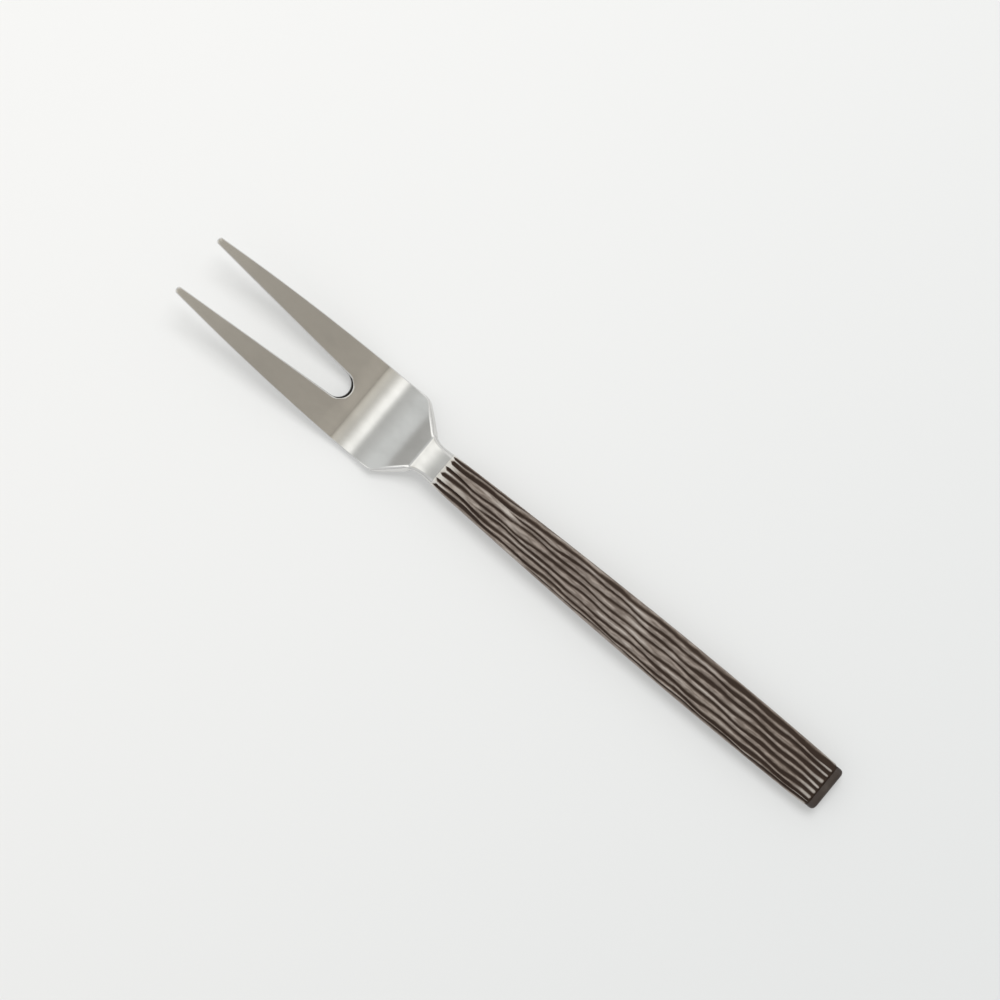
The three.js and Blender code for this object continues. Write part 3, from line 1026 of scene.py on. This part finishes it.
    def rounding(self, t: float, out: float, upper: bool) -> float:
        """Radius of a long edge, which grows along the neck to the handle's own.

        Args:
            t: Distance from the tips.
            out: Distance from the middle line.
            upper: Whether the edge lies on the upper side, which is rounder along the flare.

        Returns:
            The radius there, or that of the slot's edge where the edge lies inside.
        """
        if out < self.root_radius + self.root_margin:
            low, high = (self.root_centre + ease for ease in (-self.root_ease, self.root_ease))
            return lerp(self.edge_radius, self.root_edge, smoothstep(t, low, high))
        flare = upper * smoothstep(t, self.flare_start, self.flare_start + self.flare_ease)
        radius = lerp(self.edge_radius, self.flare_radius, flare)
        return lerp(radius, self.handle.corner, self.neck_share(t))

    def round_edges(self, head: bpy.types.Object) -> None:
        """Round the sharp edges of the blank, each by its own radius, short of the neck's end."""
        mesh = head.data
        blank = Bench.marked(head, "blank")
        normals: dict[tuple[int, int], list[Vector]] = {}
        for face in mesh.polygons:
            for key in face.edge_keys:
                normals.setdefault(key, []).append(face.normal)
        weights = np.zeros(len(mesh.edges))
        sharp = math.cos(self.fold)
        for index, edge in enumerate(mesh.edges):
            sides = normals[edge.key]
            ends = [mesh.vertices[i].co for i in edge.vertices]
            distances = [blank[i] for i in edge.vertices]
            folded = len(sides) == 2 and sides[0].dot(sides[1]) < sharp
            if folded and min(distances) < self.end - HAIR:
                t = sum(distances) / 2
                out = max(abs(end.y) for end in ends)
                upper = ends[0].z > self.middle(t).z
                weights[index] = self.rounding(t, out, upper) / self.handle.corner
        attribute = mesh.attributes.new("bevel_weight_edge", "FLOAT", "EDGE")
        attribute.data.foreach_set("value", weights)
        Bench.modify(
            head,
            "BEVEL",
            width=self.handle.corner,
            segments=self.edge_segments,
            limit_method="WEIGHT",
            use_clamp_overlap=False,
        )

    def draw_tang(self, head: bpy.types.Object) -> None:
        """Draw the spigot and the keyed tang out of the end of the neck."""
        axis = Vector((math.cos(self.slope), 0.0, -math.sin(self.slope)))
        joint = self.middle(self.end)
        spigot_end = joint + axis * self.spigot_length

        def closes_neck(middle: Vector, normal: Vector) -> bool:
            """Tell whether a face closes the end of the neck."""
            return normal.dot(axis) > ALIGNED and abs((middle - joint).dot(axis)) < HAIR

        with Bench.editing(head, Part.FACE, closes_neck):
            bpy.ops.mesh.dissolve_faces()
            bpy.ops.mesh.region_to_loop()
            bpy.ops.mesh.mark_sharp()
        width = self.handle.front_width - 2 * self.spigot_inset
        depth = self.handle.front_thickness - 2 * self.spigot_inset
        with Bench.editing(head, Part.FACE, closes_neck):
            bpy.ops.mesh.inset(thickness=self.spigot_inset)
            Bench.draw_out(axis * self.spigot_length)
            Bench.draw_out(Vector())
            bpy.ops.transform.resize(
                value=(1.0, self.tang_width / width, self.tang_thickness / depth),
                center_override=spigot_end,
            )
            Bench.draw_out(axis * self.tang_length)
        for along in (self.key_hole_margin, self.tang_length - self.key_hole_margin):
            Bench.clear()
            bpy.ops.mesh.primitive_cylinder_add(
                vertices=self.key_hole_sides,
                radius=self.key_hole_radius,
                depth=self.punch_depth,
                location=spigot_end + axis * along,
                rotation=(0.0, self.slope, 0.0),
            )
            punch = Bench.named("key_hole_punch")
            Bench.modify(
                head, "BOOLEAN", object=punch, operation="DIFFERENCE", solver="MANIFOLD"
            )
            bpy.data.objects.remove(punch)

    def handle_place(self) -> Matrix:
        """Place of the handle: its origin at the end of the neck, X down its middle line."""
        return Matrix.Translation(self.middle(self.end)) @ Matrix.Rotation(self.slope, 4, "Y")

    def dress(self, head: bpy.types.Object, finish: SatinSteel) -> None:
        """Give the head its steel."""
        Bench.finish(head, "fork_head", "bright_steel", finish.material())


# Handle


@dataclass(frozen=True)
class Drift:
    """Smooth irregular change along the handle, of its own in each lane."""

    amount: float
    wave: float
    lane_step: float
    layer: float

    def at(self, x: float, lane: int, side: int = 1) -> float:
        """How far it has drifted at a place in a lane, on a side of the handle."""
        place = Vector((x / self.wave, self.lane_step * lane, self.layer * side))
        return self.amount * noise.noise(place)


@dataclass
class RibbedHandle:
    """Two pressed half shells with wavy bark-like ribs, and the plain cap on their end."""

    length: float = 120.3
    front_width: float = 9.2
    belly_width: float = 13.2
    end_width: float = 12.5
    front_thickness: float = 4.4
    belly_thickness: float = 6.1
    end_thickness: float = 5.6
    belly_place: float = 86.0
    corner: float = 1.7
    corner_limit: float = 0.95
    wall: float = 1.0
    seam: float = 0.02
    joint_gap: float = 0.005
    grooves: int = 9
    late_every: int = 3
    late_starts: tuple[float, ...] = (17.0, 9.0, 26.0)
    late_run: float = 9.0
    groove_depth: float = 0.45
    groove_lead: float = 0.12
    run_in: float = 0.95
    run_in_power: float = 0.6
    nose: float = 0.75
    fan_out: float = 45.0
    side_shares: Span = (0.5, 1.45)
    golden: float = 0.618
    long_wave: float = 31.0
    long_sway: float = 0.22
    short_wave: float = 13.5
    short_sway: float = 0.12
    wander: Drift = Drift(amount=0.17, wave=6.5, lane_step=7.3, layer=0.5)
    jitter: Drift = Drift(amount=0.07, wave=2.1, lane_step=5.1, layer=3.5)
    loosening: float = 4.0
    rib_flatness: float = 1.35
    rib_spread: Drift = Drift(amount=0.55, wave=8.0, lane_step=2.9, layer=4.0)
    rib_lift: Drift = Drift(amount=0.35, wave=7.0, lane_step=3.7, layer=2.0)
    edge_grooves: tuple[int, ...] = (1, 7)
    edge_flatness: float = 0.52
    front_flatness: float = 0.72
    front_run: float = 30.0
    # Where the rib ends get their painted highlight: beside the neck and beside the cap.
    bright_front: Span = (0.4, 4.8)
    bright_end: Span = (1.0, 7.0)
    bright_end_share: float = 0.45
    grip_margins: Span = (26.0, 68.0)
    front_grip: float = 0.28
    rib_steps: int = 12
    inner_steps: int = 12
    row_step: float = 0.26
    cap_length: float = 2.095
    cap_inset: float = 0.25
    cap_edge: float = 1.0
    cap_edge_segments: int = 6
    cap_lip: float = 0.08
    cap_lip_segments: int = 3
    cap_corner_segments: int = 10
    cap_spigot_inset: float = 1.05
    cap_spigot_length: float = 6.0

    def swell(self, x: float, front: float, belly: float, end: float) -> float:
        """Size at a place along the handle.

        Args:
            x: Distance from the front of the handle.
            front: Size at the front.
            belly: Size at the widest place.
            end: Size at the end.

        Returns:
            The size there.
        """
        if x < self.belly_place:
            return lerp(front, belly, math.sin(math.pi / 2 * x / self.belly_place))
        share = (x - self.belly_place) / (self.length - self.belly_place)
        return lerp(belly, end, share**2)

    def half_width(self, x: float) -> float:
        """Half width over the ribs."""
        return self.swell(x, self.front_width, self.belly_width, self.end_width) / 2

    def half_thickness(self, x: float) -> float:
        """Half thickness over the ribs."""
        return self.swell(x, self.front_thickness, self.belly_thickness, self.end_thickness) / 2

    def section(
        self, a: float, b: float, radius: float, share: np.ndarray
    ) -> tuple[np.ndarray, np.ndarray, float]:
        """Follow a half section from one seam over the top to the other.

        Args:
            a: Half width.
            b: Half thickness.
            radius: Rounding of the long edge.
            share: Shares of the way from seam to seam.

        Returns:
            The points, the inward directions and the whole length.
        """
        r = min(radius, self.corner_limit * (b - self.seam))
        side = b - r - self.seam
        turn = math.pi / 2 * r
        top = 2 * (a - r)
        girth = 2 * side + 2 * turn + top
        d = np.clip(share, 0, 1) * girth
        angle = np.clip((d - side) / r, 0, math.pi / 2)
        angle = angle + np.clip((d - side - turn - top) / r, 0, math.pi / 2)
        rise = np.minimum(d, side) - np.clip(d - girth + side, 0, side)
        centre_y = a - r - np.clip(d - side - turn, 0, top)
        points = np.stack(
            [centre_y + r * np.cos(angle), self.seam + rise + r * np.sin(angle)], axis=1
        )
        return points, -np.stack([np.cos(angle), np.sin(angle)], axis=1), girth

    def is_late(self, groove: int) -> bool:
        """Whether a groove begins further back than the others."""
        return (groove + 1) % self.late_every == 0

    def groove_places(self, x: float, face: Face, girth: float) -> np.ndarray:
        """Places of the grooves round a half section.

        Args:
            x: Distance from the front of the handle.
            face: Which half shell.
            girth: Length of the half section.

        Returns:
            Shares of the way from seam to seam, with both seams.
        """
        places = [0.0]
        early = self.grooves - self.grooves // self.late_every
        spread = smoothstep(x, 0, self.fan_out)
        loose = smoothstep(x, 0, self.loosening)
        first_share, last_share = self.side_shares
        for k in range(self.grooves):
            rank = k - (k + 1) // self.late_every + (0.5 if self.is_late(k) else 0.0)
            full = (k + 1) / (self.grooves + 1)
            if k == 0:
                full *= first_share
            elif k == self.grooves - 1:
                full = 1 - (1 - full) * last_share
            base = lerp((rank + 1) / (early + 1), full, spread)
            lane = k + (self.grooves if face is Face.LOWER else 0)
            phase = 2 * math.pi * (lane * self.golden % 1)
            sway = self.long_sway * math.sin(2 * math.pi * x / self.long_wave + phase)
            sway += self.short_sway * math.sin(2 * math.pi * x / self.short_wave + 3 * phase)
            sway += (self.wander.at(x, lane) + self.jitter.at(x, lane)) * loose
            places.append(base + sway / girth)
        return np.array([*places, 1.0])

    def groove_start(self, k: int, x: float) -> float:
        """How far a groove still is from its full depth: 1 before its start, 0 past its run."""
        if self.is_late(k):
            late_start = self.late_starts[k // self.late_every % len(self.late_starts)]
            return 1 - smoothstep(x, late_start, late_start + self.late_run)
        return 1 - clamp((x - self.groove_lead) / self.run_in) ** self.run_in_power

    def flatness(self, groove: int, x: float, face: Face) -> float:
        """How flat-topped a rib is beside a groove, which sets how wide the groove looks.

        Args:
            groove: Number of the groove.
            x: Distance from the front of the handle.
            face: Which half shell.

        Returns:
            Power of the rib's rounding.
        """
        edge = self.edge_flatness if groove in self.edge_grooves else 1.0
        edge *= lerp(self.front_flatness, 1.0, smoothstep(x, 0, self.front_run))
        return self.rib_flatness * edge * (1 + self.rib_spread.at(x, groove, face.value))

    def outside(self, x: float, face: Face) -> tuple[np.ndarray, np.ndarray]:
        """Ribbed outside of a half shell at a place along the handle.

        Args:
            x: Distance from the front of the handle.
            face: Which half shell.

        Returns:
            Points from seam to seam, and the height of the rib at each, from 0 to 1.
        """
        a, b = self.half_width(x), self.half_thickness(x)
        girth = self.section(a, b, self.corner, np.zeros(1))[2]
        marks = self.groove_places(x, face, girth)
        starts = [1.0, *(self.groove_start(k, x) for k in range(self.grooves)), 1.0]
        nose = clamp(1 - (self.length - x) / self.nose)
        shares, dips = [], []
        for rib in range(self.grooves + 1):
            lift = 1 + self.rib_lift.at(x, rib, face.value)
            for i in range(self.rib_steps + (rib == self.grooves)):
                across = i / self.rib_steps
                groove = rib - 1 if across < 0.5 else rib
                at_seam = groove in (-1, self.grooves)
                reach = math.hypot(0.0 if at_seam else 2 * across - 1, nose)
                flatness = self.flatness(groove, x, face)
                start = starts[groove + 1] * (not at_seam)
                hollow = max(reach**flatness - start**flatness, 0.0) * lift
                shares.append(lerp(marks[rib], marks[rib + 1], across))
                dips.append(self.groove_depth * min(hollow, 1.0))
        points, inward, _girth = self.section(a, b, self.corner, np.array(shares))
        dips = np.array(dips)
        return points + inward * dips[:, None], 1 - np.clip(dips / self.groove_depth, 0, 1)

    def brightness(self, x: float) -> float:
        """How much painted highlight the rib ends get at a place: most beside the neck, and less
        beside the cap.
        """
        beside_cap = 1 - smoothstep(self.length - x, *self.bright_end)
        return 1 - smoothstep(x, *self.bright_front) + self.bright_end_share * beside_cap

    def handling(self, x: float) -> float:
        """How much hands have rubbed the ribs at a place: most in the middle of the handle."""
        front_margin, end_margin = self.grip_margins
        front = lerp(self.front_grip, 1.0, smoothstep(x, 0, front_margin))
        return front * smoothstep(self.length - x, 0, end_margin)

    def shell(self, face: Face) -> bpy.types.Object:
        """Press one half shell.

        Args:
            face: Which half of the handle.

        Returns:
            The shell, in the handle's own place.
        """
        ring = self.rib_steps * (self.grooves + 1) + 1 + self.inner_steps
        rows = round(self.length / self.row_step)
        Bench.clear()
        bpy.ops.mesh.primitive_grid_add(x_subdivisions=rows, y_subdivisions=ring, size=2)
        shell = Bench.named(f"{face.name.lower()}_ribbed_shell")
        grid = Bench.points(shell)
        row_of = np.rint((grid[:, 0] + 1) / 2 * rows).astype(int)
        column_of = np.rint((grid[:, 1] + 1) / 2 * ring).astype(int) % ring
        places = np.empty((rows + 1, ring, 3))
        marks = {name: np.zeros((rows + 1, ring)) for name in ("rib", "bright", "handled")}
        inner_share = np.linspace(1, 0, self.inner_steps)
        for row in range(rows + 1):
            x = lerp(self.joint_gap, self.length, row / rows)
            outer, height = self.outside(x, face)
            a, b = self.half_width(x) - self.wall, self.half_thickness(x) - self.wall
            inner = self.section(a, b, self.corner - self.wall, inner_share)[0]
            places[row, :, 0] = x
            places[row, :, 1:] = np.concatenate([outer, inner]) * face.value
            marks["rib"][row, : len(height)] = height
            marks["bright"][row] = self.brightness(x)
            marks["handled"][row] = self.handling(x)
        Bench.move_points(shell, places[row_of, column_of])
        for name, values in marks.items():
            Bench.mark(shell, name, values[row_of, column_of])
        with Bench.editing(shell, Part.POINT):
            bpy.ops.mesh.remove_doubles(threshold=WELD)
        self.close_ends(shell)
        return shell

    def close_ends(self, shell: bpy.types.Object) -> None:
        """Close both ends of a shell's wall and turn its faces outwards."""
        for end in (self.joint_gap, self.length):
            with Bench.editing(shell, Part.POINT, lambda co, end=end: abs(co.x - end) < HAIR):
                bpy.ops.mesh.edge_face_add()
                bpy.ops.mesh.mark_sharp()
        Bench.face_outwards(shell)

    def cap(self) -> bpy.types.Object:
        """Shape the plain end cap with its spigot.

        Returns:
            The cap, in the handle's own place.
        """
        width = self.end_width - 2 * self.cap_inset
        depth = self.end_thickness - 2 * self.cap_inset
        front = self.length + self.joint_gap
        back = self.length + self.cap_length
        Bench.clear()
        bpy.ops.mesh.primitive_cube_add(size=1, location=((front + back) / 2, 0.0, 0.0))
        cap = Bench.named("plain_end_cap")
        with Bench.editing(cap, Part.FACE):
            bpy.ops.transform.resize(value=(back - front, width, depth))
        bpy.ops.object.transform_apply(location=True, rotation=True, scale=True)
        roundings = (
            (lambda middle, along: abs(along.x) > ALIGNED, self.corner, self.cap_corner_segments),
            (lambda middle, _: abs(middle.x - back) < HAIR, self.cap_edge, self.cap_edge_segments),
            (lambda middle, _: abs(middle.x - front) < HAIR, self.cap_lip, self.cap_lip_segments),
        )
        for chosen, radius, segments in roundings:
            with Bench.editing(cap, Part.EDGE, chosen):
                bpy.ops.mesh.bevel(offset=radius, segments=segments, affect="EDGES")

        def faces_shells(middle: Vector, normal: Vector) -> bool:
            """Tell whether a face of the cap lies against the shells."""
            return normal.x < -ALIGNED and abs(middle.x - front) < HAIR

        with Bench.editing(cap, Part.FACE, faces_shells):
            bpy.ops.mesh.inset(thickness=self.cap_spigot_inset - self.cap_lip)
            Bench.draw_out(Vector((-self.cap_spigot_length, 0.0, 0.0)))
        return cap

    def build(self, place: Matrix) -> dict[str, bpy.types.Object]:
        """Make both shells and the cap, and set them down behind the neck.

        Args:
            place: Place of the handle in the frame.

        Returns:
            The pieces by the CAD node that each stands for.
        """
        pieces = {f"handle_{face.name.lower()}_shell": self.shell(face) for face in Face}
        pieces["handle_end_cap"] = self.cap()
        for piece in pieces.values():
            Bench.set_down(piece, place)
        Bench.modify(pieces["handle_end_cap"], "WEIGHTED_NORMAL", weight=50)
        return pieces

    def dress(
        self, pieces: dict[str, bpy.types.Object], ribs: BlackenedRibs, plain: BlackenedCap
    ) -> None:
        """Give the shells and the cap their finishes.

        Args:
            pieces: The pieces by the CAD node that each stands for.
            ribs: Finish of the shells.
            plain: Finish of the cap.
        """
        ribbed = ribs.material()
        for node, piece in pieces.items():
            if node == "handle_end_cap":
                Bench.finish(piece, node, "blackened_cap", plain.material())
            else:
                Bench.finish(piece, node, "blackened_ribs", ribbed)


@dataclass
class Bedding:
    """The cement inside the handle, which keeps its CAD shape."""

    node: str = "handle_filler"

    def dress(self, finish: Cement) -> None:
        """Give the cement its finish."""
        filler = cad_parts[self.node]
        material = finish.material()
        for slot in filler.material_slots:
            slot.material = material
        LOG.info("%s: CAD shape kept", self.node)


# Studio


@dataclass
class Studio:
    """Pale floor, soft light and the camera straight above.

    The bands are the room's tones by their lean from overhead, in degrees, towards the tine tips.
    """

    floor_size: float = 6.0
    floor_drop: float = 0.02
    target: tuple[float, float, float] = (-6.949, 3.577, 0.0)
    distance: float = 621.14
    elevation: float = math.radians(85.876)
    roll: float = math.radians(39.817)
    focal: float = 2.517
    sensor: float = 36.0
    key_heading: Span = (-0.35, 0.93)
    key_elevation: float = math.radians(66)
    key_distance: float = 1.3
    key_size: float = 0.6
    key_power: float = 10.0
    backdrop: Colour = (0.92, 0.92, 0.915)
    bands: tuple[tuple[float, Colour], ...] = (
        (-90, (0.62, 0.61, 0.60)),
        (-45, (0.52, 0.49, 0.45)),
        (-18.6, (0.70, 0.65, 0.565)),
        (-16.5, (0.30, 0.274, 0.235)),
        (-12.5, (0.31, 0.284, 0.243)),
        (-10.8, (0.64, 0.605, 0.53)),
        (-8, (0.84, 0.80, 0.715)),
        (-5.5, (0.70, 0.675, 0.62)),
        (-3.5, (0.58, 0.565, 0.52)),
        (-1.5, (0.66, 0.645, 0.60)),
        (1, (0.90, 0.89, 0.85)),
        (3.5, (1.28, 1.28, 1.24)),
        (5.5, (1.50, 1.50, 1.46)),
        (7.5, (1.42, 1.42, 1.38)),
        (10.0, (1.02, 1.02, 1.0)),
        (13.2, (0.56, 0.565, 0.55)),
        (18, (0.575, 0.58, 0.57)),
        (21, (0.62, 0.625, 0.615)),
        (27, (0.68, 0.69, 0.68)),
        (33, (0.745, 0.76, 0.755)),
        (48, (0.74, 0.755, 0.75)),
        (54, (0.43, 0.43, 0.415)),
        (60, (0.47, 0.47, 0.455)),
        (72, (0.50, 0.50, 0.485)),
        (90, (0.70, 0.70, 0.70)),
    )
    side_room: Colour = (0.74, 0.745, 0.75)
    lit_side: Colour = (0.90, 0.90, 0.89)
    lit_reach: float = 0.25
    side_window: Colour = (1.40, 1.40, 1.38)
    window_reach: Span = (0.30, 0.42)
    horizon: Colour = (0.34, 0.335, 0.32)
    horizon_reach: Span = (0.04, 0.26)
    strip_reach: Span = (math.radians(16), math.radians(34))
    clip: Span = (0.01, 50.0)

    def build(self) -> None:
        """Set up the floor, the lights and the camera."""
        self.lay_floor(PaleFloor())
        self.light_room()
        self.hang_key()
        self.aim_camera()
        bpy.context.scene.view_settings.view_transform = "Standard"

    def lay_floor(self, finish: PaleFloor) -> None:
        """Lay the floor that the fork lies on."""
        Bench.clear()
        height = -self.floor_drop * MM
        bpy.ops.mesh.primitive_plane_add(size=self.floor_size, location=(0.0, 0.0, height))
        floor = Bench.named("pale_floor")
        floor.data.materials.append(finish.material())

    def light_room(self) -> None:
        """Surround the fork with bands of pale and darker room, with a strip light overhead."""
        world = bpy.data.worlds.new("studio_room")
        bpy.context.scene.world = world
        world.use_nodes = True
        graph = Graph(world.node_tree)
        here = graph.node("ShaderNodeTexCoord", output="Generated")
        x, y, z = graph.axes(here, "XYZ")
        lean = x.math("ARCTAN2", -1.0 * x, z)
        share = lean * (1 / math.pi) + 0.5
        stops = [(angle / 180 + 0.5, colour) for angle, colour in self.bands]
        strips = graph.node("ShaderNodeValToRGB", {"stops": stops}, {"Fac": share})
        aside = y.math("ABSOLUTE", y.math("ARCTAN2", y, z)).ramp(*self.strip_reach)
        walls = graph.mix(y.ramp(-self.lit_reach, self.lit_reach), self.side_room, self.lit_side)
        walls = graph.mix((-1.0 * x).ramp(*self.window_reach), walls, self.side_window)
        room = graph.mix(aside, strips, walls)
        room = graph.mix(z.ramp(*self.horizon_reach), self.horizon, room)
        seen = graph.node("ShaderNodeLightPath", output="Is Camera Ray")
        colour = graph.mix(seen, room, self.backdrop)
        light = graph.node("ShaderNodeBackground", {}, {"Color": colour, "Strength": 1.0})
        graph.node("ShaderNodeOutputWorld", {}, {"Surface": light})

    def hang_key(self) -> None:
        """Hang the soft key light that throws the shadow."""
        lamp = bpy.data.lights.new("key_softbox", "AREA")
        lamp.shape = "SQUARE"
        lamp.size = self.key_size
        lamp.energy = self.key_power
        holder = bpy.data.objects.new("key_softbox", lamp)
        holder.visible_glossy = False
        flat = Vector((*self.key_heading, 0.0)).normalized() * math.cos(self.key_elevation)
        towards = flat + Vector((0.0, 0.0, math.sin(self.key_elevation)))
        holder.location = towards * self.key_distance
        holder.rotation_euler = towards.to_track_quat("Z", "Y").to_euler()
        bpy.context.scene.collection.objects.link(holder)

    def aim_camera(self) -> None:
        """Hang the camera above the fork, rolled so that the fork lies across the picture."""
        right = Vector((math.cos(self.roll), math.sin(self.roll), 0.0))
        level = Vector((-math.sin(self.roll), math.cos(self.roll), 0.0))
        back = -level * math.cos(self.elevation)
        back.z = math.sin(self.elevation)
        up = back.cross(right)
        camera = bpy.data.cameras.new("photo_camera")
        camera.sensor_width = self.sensor
        camera.lens = self.focal * self.sensor
        camera.clip_start, camera.clip_end = self.clip
        holder = bpy.data.objects.new("photo_camera", camera)
        turn = Matrix((right, up, back)).transposed().to_4x4()
        at = (Vector(self.target) + back * self.distance) * MM
        holder.matrix_world = Matrix.Translation(at) @ turn
        bpy.context.scene.collection.objects.link(holder)
        bpy.context.scene.camera = holder


def main() -> None:
    """Build and dress the fork, then the studio round it."""
    logging.basicConfig(level=logging.INFO, format="%(name)s %(message)s")
    handle = RibbedHandle()
    head = SteelHead(handle)
    head.dress(head.build(), SatinSteel())
    handle.dress(handle.build(head.handle_place()), BlackenedRibs(), BlackenedCap())
    Bedding().dress(Cement())
    Studio().build()


if __name__ == "__main__":
    main()
